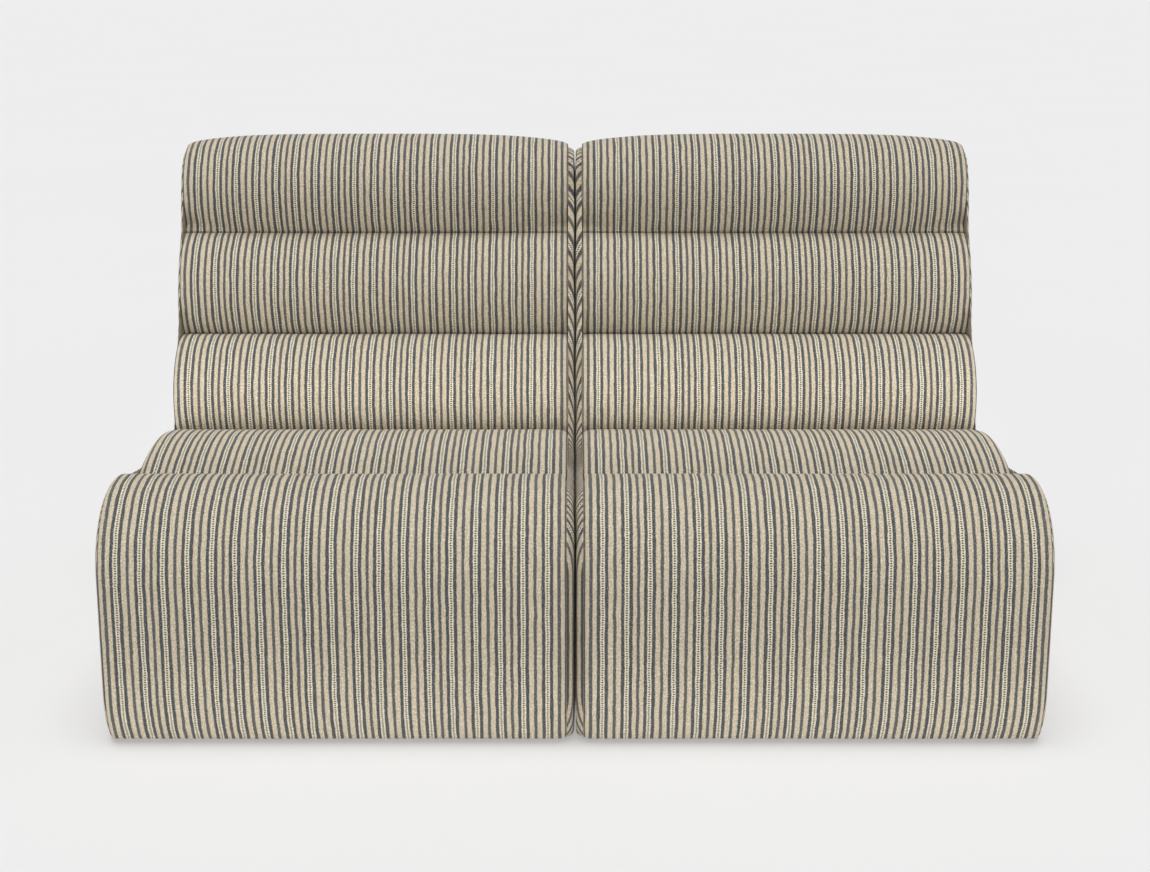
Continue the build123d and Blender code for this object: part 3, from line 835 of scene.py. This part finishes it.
def side_outline(inset, link_room):
    """The panel's outline, drawn in from its seam, with room for the links along its bottom."""
    drawn = SIDE_SETBACK + inset
    bottom = SIDE_BOTTOM + inset * SIDE_BOTTOM_TURN
    top_radius = side_top_radius - inset * SIDE_TOP_PLUMP
    arcs = [
        floor_tuck(drawn, bottom),
        ring(edge_axis, EDGE_RADIUS - drawn, 180, 90 - SIDE_SEAT_FALL),
        ring(side_corner_axis(), SIDE_CORNER + inset, 270 - SIDE_SEAT_FALL, 360 - back_lean),
        ring(side_top_axis, top_radius, 180 - back_lean, 90),
        ring(side_rear_axis, top_radius, 90, 0),
    ]
    front_foot = Vector((arcs[0][0].x, bottom))
    rear_foot = Vector((arcs[-1][-1].x, bottom + link_room))
    line_ends = [arc[0] for arc in arcs[1:]] + [rear_foot]
    points = []
    for arc, line_end, arc_steps, line_steps in zip(arcs, line_ends, ARC_STEPS, LINE_STEPS):
        points += spaced(arc, arc_steps)[0][:-1]
        points += spaced([arc[-1], line_end], line_steps)[0][:-1]
    low_edge = [
        rear_foot, Vector((FRONT + 2 * LINK_ROOM_START, bottom + link_room)),
        Vector((FRONT + LINK_ROOM_START, bottom)), front_foot,
    ]
    return points + spaced(low_edge, LOW_EDGE_STEPS)[0][:-1]


DOME_STEPS = 7
PANEL_GRID = 0.012
RIM_CLEAR = 0.6
INSIDE_ONLY, SAME_POINT = 1, 1e-6
SIDE_CROWN = 0.0017
CROWN_REACH = 0.05
PANEL_CLOTH_START = 1.0


def panel_middle(outline, rim):
    """Flat faces that fill an outline: their points, the faces, and where each point came from."""
    count = len(outline)
    low = Vector((min(p.x for p in outline), min(p.y for p in outline)))
    high = Vector((max(p.x for p in outline), max(p.y for p in outline)))
    fill = list(outline)
    for i in range(int((high.x - low.x) / PANEL_GRID) + 1):
        for j in range(int((high.y - low.y) / PANEL_GRID) + 1):
            yz = low + Vector((i * PANEL_GRID, j * PANEL_GRID))
            if rim.find((0, yz.x, yz.y))[2] > PANEL_GRID * RIM_CLEAR:
                fill.append(yz)
    edges = [(i, (i + 1) % count) for i in range(count)]
    flat, _, faces, origins, _, _ = geometry.delaunay_2d_cdt(
        fill, edges, [list(range(count))], INSIDE_ONLY, SAME_POINT,
    )
    return flat, faces, origins


def side_panel(name, seam_x, outward, pad, kept, link_room):
    """A domed side panel, flat at the back, as a closed form; kept gives its padding at a point."""
    bm = bmesh.new()
    across_layer = bm.verts.layers.float.new("across")
    along_layer = bm.verts.layers.float.new("along")

    def point(x, yz):
        vertex = bm.verts.new((x, yz.x, yz.y))
        vertex[across_layer] = yz.x + PANEL_CLOTH_START
        vertex[along_layer] = yz.y
        return vertex

    def band(near, far):
        for i in range(count):
            after = (i + 1) % count
            bm.faces.new((near[i], near[after], far[after], far[i]))

    rings = []
    for step in range(DOME_STEPS + 1):
        share = step / DOME_STEPS
        outline = side_outline(SIDE_DOME * share, link_room)
        rise = pad * (1 - (1 - share) ** SIDE_FULLNESS)
        rings.append([point(seam_x + outward * rise * kept(yz), yz) for yz in outline])
    count = len(outline)
    for near, far in zip(rings, rings[1:]):
        band(near, far)
    back = [point(seam_x, yz) for yz in outline]
    band(rings[0], back)

    rim = kdtree.KDTree(count)
    for i, yz in enumerate(outline):
        rim.insert((0, yz.x, yz.y), i)
    rim.balance()
    flat, faces, origins = panel_middle(outline, rim)
    for edge_ring, height, crown in ((rings[-1], pad, SIDE_CROWN), (back, 0.0, 0.0)):
        made = {}
        for index in {i for face in faces for i in face}:
            on_ring = [i for i in origins[index] if i < count]
            yz = flat[index]
            share = min(rim.find((0, yz.x, yz.y))[2] / CROWN_REACH, 1.0)
            rise = height * kept(yz) + crown * share * share * (3 - 2 * share)
            made[index] = edge_ring[on_ring[0]] if on_ring else point(seam_x + outward * rise, yz)
        for face in faces:
            bm.faces.new([made[i] for i in face])
    return made_up(bm, name)


PRESS_WAVE = 0.0009
PRESS_LENGTH = 0.09
PRESS_SLANT = 6
PRESS_EDGE = 8


def pressed(panel, seam_x, pad):
    """Where two modules meet, their panels press together and take up each other's waves."""
    for vertex in panel.data.vertices:
        share = min(abs(vertex.co.x - seam_x) / pad, 1.0)
        turn = 2 * math.pi * vertex.co.y / PRESS_LENGTH + PRESS_SLANT * vertex.co.z
        vertex.co.x += PRESS_WAVE * math.sin(turn) * share ** PRESS_EDGE


outer_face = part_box("left_outer_side_cover")[0].x
for which, seam_x, face_x, kept, link_room in (
    ("outer", ROLL_OUTER, outer_face, fullness, 0.0),
    ("inner", ROLL_INNER, -SIDE_FACE, lambda yz: 1.0, LINK_ROOM),
):
    node = which + "_side_cover"
    outward = -1 if which == "outer" else 1
    pad = abs(face_x - seam_x)
    panel = side_panel(f"left_{which}_side_panel", seam_x, outward, pad, kept, link_room)
    twin = mirrored(panel, f"right_{which}_side_panel")
    if which == "inner":
        pressed(panel, seam_x, pad)
        pressed(twin, -seam_x, pad)
    upholster(panel, "left", node)
    upholster(twin, "right", node)


# Outside backs: padded ticking panels behind the frame, sewn to the back of the top roll and turned
# under at the bottom, with the stripes upright and in line with the rolls.

BACK_ROUNDING = 0.012
BACK_SEAM, BACK_SEAM_RUN = 0.003, 4
BACK_SEAM_DRAW, BACK_SEAM_EASE = 0.0025, 0.3


def back_section(drawn):
    """Up the outside back from the turned bottom edge to the seam under the top roll."""
    face = top_axis.x + TOP_RADIUS - drawn
    radius = min(BACK_ROUNDING, (face - frame_back) / 2)
    turned = ring(Vector((face - radius, SIDE_BOTTOM + radius)), radius, -90, 0)
    height = top_axis.y
    return turned + [
        Vector((face, height - BACK_SEAM_RUN * BACK_SEAM)),
        Vector((face - BACK_SEAM_DRAW * BACK_SEAM_EASE, height - BACK_SEAM)),
        Vector((face - BACK_SEAM_DRAW, height)),
    ]


roll(
    "outside_back_cover", back_section,
    [Vector((frame_back, SIDE_BOTTOM)), Vector((frame_back, top_axis.y))],
    start_along=0.0, pressure=0.3, crowned=True,
)


# Floor, light and camera: a pale seamless studio floor and an even pale surround. One broad soft
# light is overhead and one low in front, and three narrow ones reach the creases and the tuck.
# The camera stands in front, a little higher than the backs, and looks down on the seats.

FLOOR_SIZE = 400.0
FLOOR_PALE = (0.58, 0.58, 0.58, 1)
FLOOR_PALER = (0.60, 0.60, 0.60, 1)
FLOOR_MOTTLE = (0.7, 0.7, 0.7)
# The floor glows a little of its own, though it is no lamp. This keeps it evenly pale, and it also
# throws a painted up-light onto the rolls from below, in place of bounce light.
FLOOR_GLOW = 0.31

floor_mesh = bpy.data.meshes.new("studio_floor")
half = FLOOR_SIZE / 2
floor_mesh.from_pydata(
    [(-half, -half, 0), (half, -half, 0), (half, half, 0), (-half, half, 0)], [], [(0, 1, 2, 3)],
)
floor = bpy.data.objects.new("studio_floor", floor_mesh)
bpy.context.scene.collection.objects.link(floor)
floor_finish, shader, add, to_shader = new_finish("pale_floor", roughness=0.9)
mottle = flecks(add, add("TexCoord").outputs["Object"], FLOOR_MOTTLE)
to_shader("Base Color", mixed(add, mottle, FLOOR_PALE, FLOOR_PALER))
shader.inputs["Specular IOR Level"].default_value = 0.0
# Painted up-light: the floor's own glow, which also lights the sofa from below.
shader.inputs["Emission Color"].default_value = (1, 1, 1, 1)
shader.inputs["Emission Strength"].default_value = FLOOR_GLOW
floor_mesh.materials.append(floor_finish)

SURROUND = 0.32
FAR_PALE = (0.84, 0.84, 0.84, 1)

world = bpy.data.worlds.new("studio")
bpy.context.scene.world = world
world.use_nodes = True
nodes, links = world.node_tree.nodes, world.node_tree.links
background = nodes["Background"]
background.inputs["Color"].default_value = (1, 1, 1, 1)
background.inputs["Strength"].default_value = SURROUND
far = nodes.new("ShaderNodeBackground")
far.inputs["Color"].default_value = FAR_PALE
seen = nodes.new("ShaderNodeLightPath")
either = nodes.new("ShaderNodeMixShader")
shown = seen.outputs["Is Camera Ray"]
for other in ("Is Glossy Ray", "Is Transmission Ray"):
    larger = nodes.new("ShaderNodeMath")
    larger.operation = "MAXIMUM"
    links.new(shown, larger.inputs[0])
    links.new(seen.outputs[other], larger.inputs[1])
    shown = larger.outputs[0]
links.new(shown, either.inputs["Fac"])
links.new(background.outputs[0], either.inputs[1])
links.new(far.outputs[0], either.inputs[2])
links.new(either.outputs[0], nodes["World Output"].inputs["Surface"])

# Each soft light's name, strength, height and breadth, with the angles in degrees.
SOFT_LIGHTS = (
    ("soft_key", 1.82, 79.0, 45.0),
    ("soft_front", 0.92, 2.0, 40.0),
)
# Each narrow light's name, strength, beam in degrees, size, place and aim.
NARROW_LIGHTS = (
    ("back_fill", 0.36, 16.0, (2.0, 0.2), Vector((0, -1.5, 0.60)), Vector((0, 0.19, 0.52))),
    ("crease_fill", 0.25, 7.0, (2.2, 0.05), Vector((0, -1.5, 0.75)), Vector((0, 0.19, 0.40))),
    ("low_fill", 0.17, 14.0, (2.0, 0.05), Vector((0, -1.6, 0.12)), Vector((0, -0.51, 0.04))),
)

for name, strength, height, breadth in SOFT_LIGHTS:
    lamp = bpy.data.lights.new(name, "SUN")
    lamp.energy = strength
    lamp.angle = math.radians(breadth)
    soft_light = bpy.data.objects.new(name, lamp)
    soft_light.rotation_euler = (math.radians(90 - height), 0, 0)
    bpy.context.scene.collection.objects.link(soft_light)

for name, strength, beam, size, place, aim in NARROW_LIGHTS:
    lamp = bpy.data.lights.new(name, "AREA")
    lamp.shape = "RECTANGLE"
    lamp.size, lamp.size_y = size
    lamp.energy = strength
    lamp.spread = math.radians(beam)
    narrow_light = bpy.data.objects.new(name, lamp)
    narrow_light.location = place
    narrow_light.rotation_euler = (aim - place).to_track_quat("-Z", "Y").to_euler()
    narrow_light.visible_camera = False
    bpy.context.scene.collection.objects.link(narrow_light)

CAMERA_AHEAD = 2.9258
CAMERA_HEIGHT = 1.2371
CAMERA_DOWN = 13.8
FOCAL_PIXELS, IMAGE_WIDTH = 1960.0, 1150.0
SENSOR_WIDTH = 36.0
VIEW_REACH = 500.0

lens = bpy.data.cameras.new("front_view")
lens.sensor_width = SENSOR_WIDTH
lens.lens = FOCAL_PIXELS / IMAGE_WIDTH * SENSOR_WIDTH
lens.clip_end = VIEW_REACH
camera = bpy.data.objects.new("front_view", lens)
camera.location = (0, FRONT - CAMERA_AHEAD, CAMERA_HEIGHT)
camera.rotation_euler = (math.radians(90 - CAMERA_DOWN), 0, 0)
bpy.context.scene.collection.objects.link(camera)
bpy.context.scene.camera = camera
bpy.context.scene.view_settings.view_transform = "Standard"
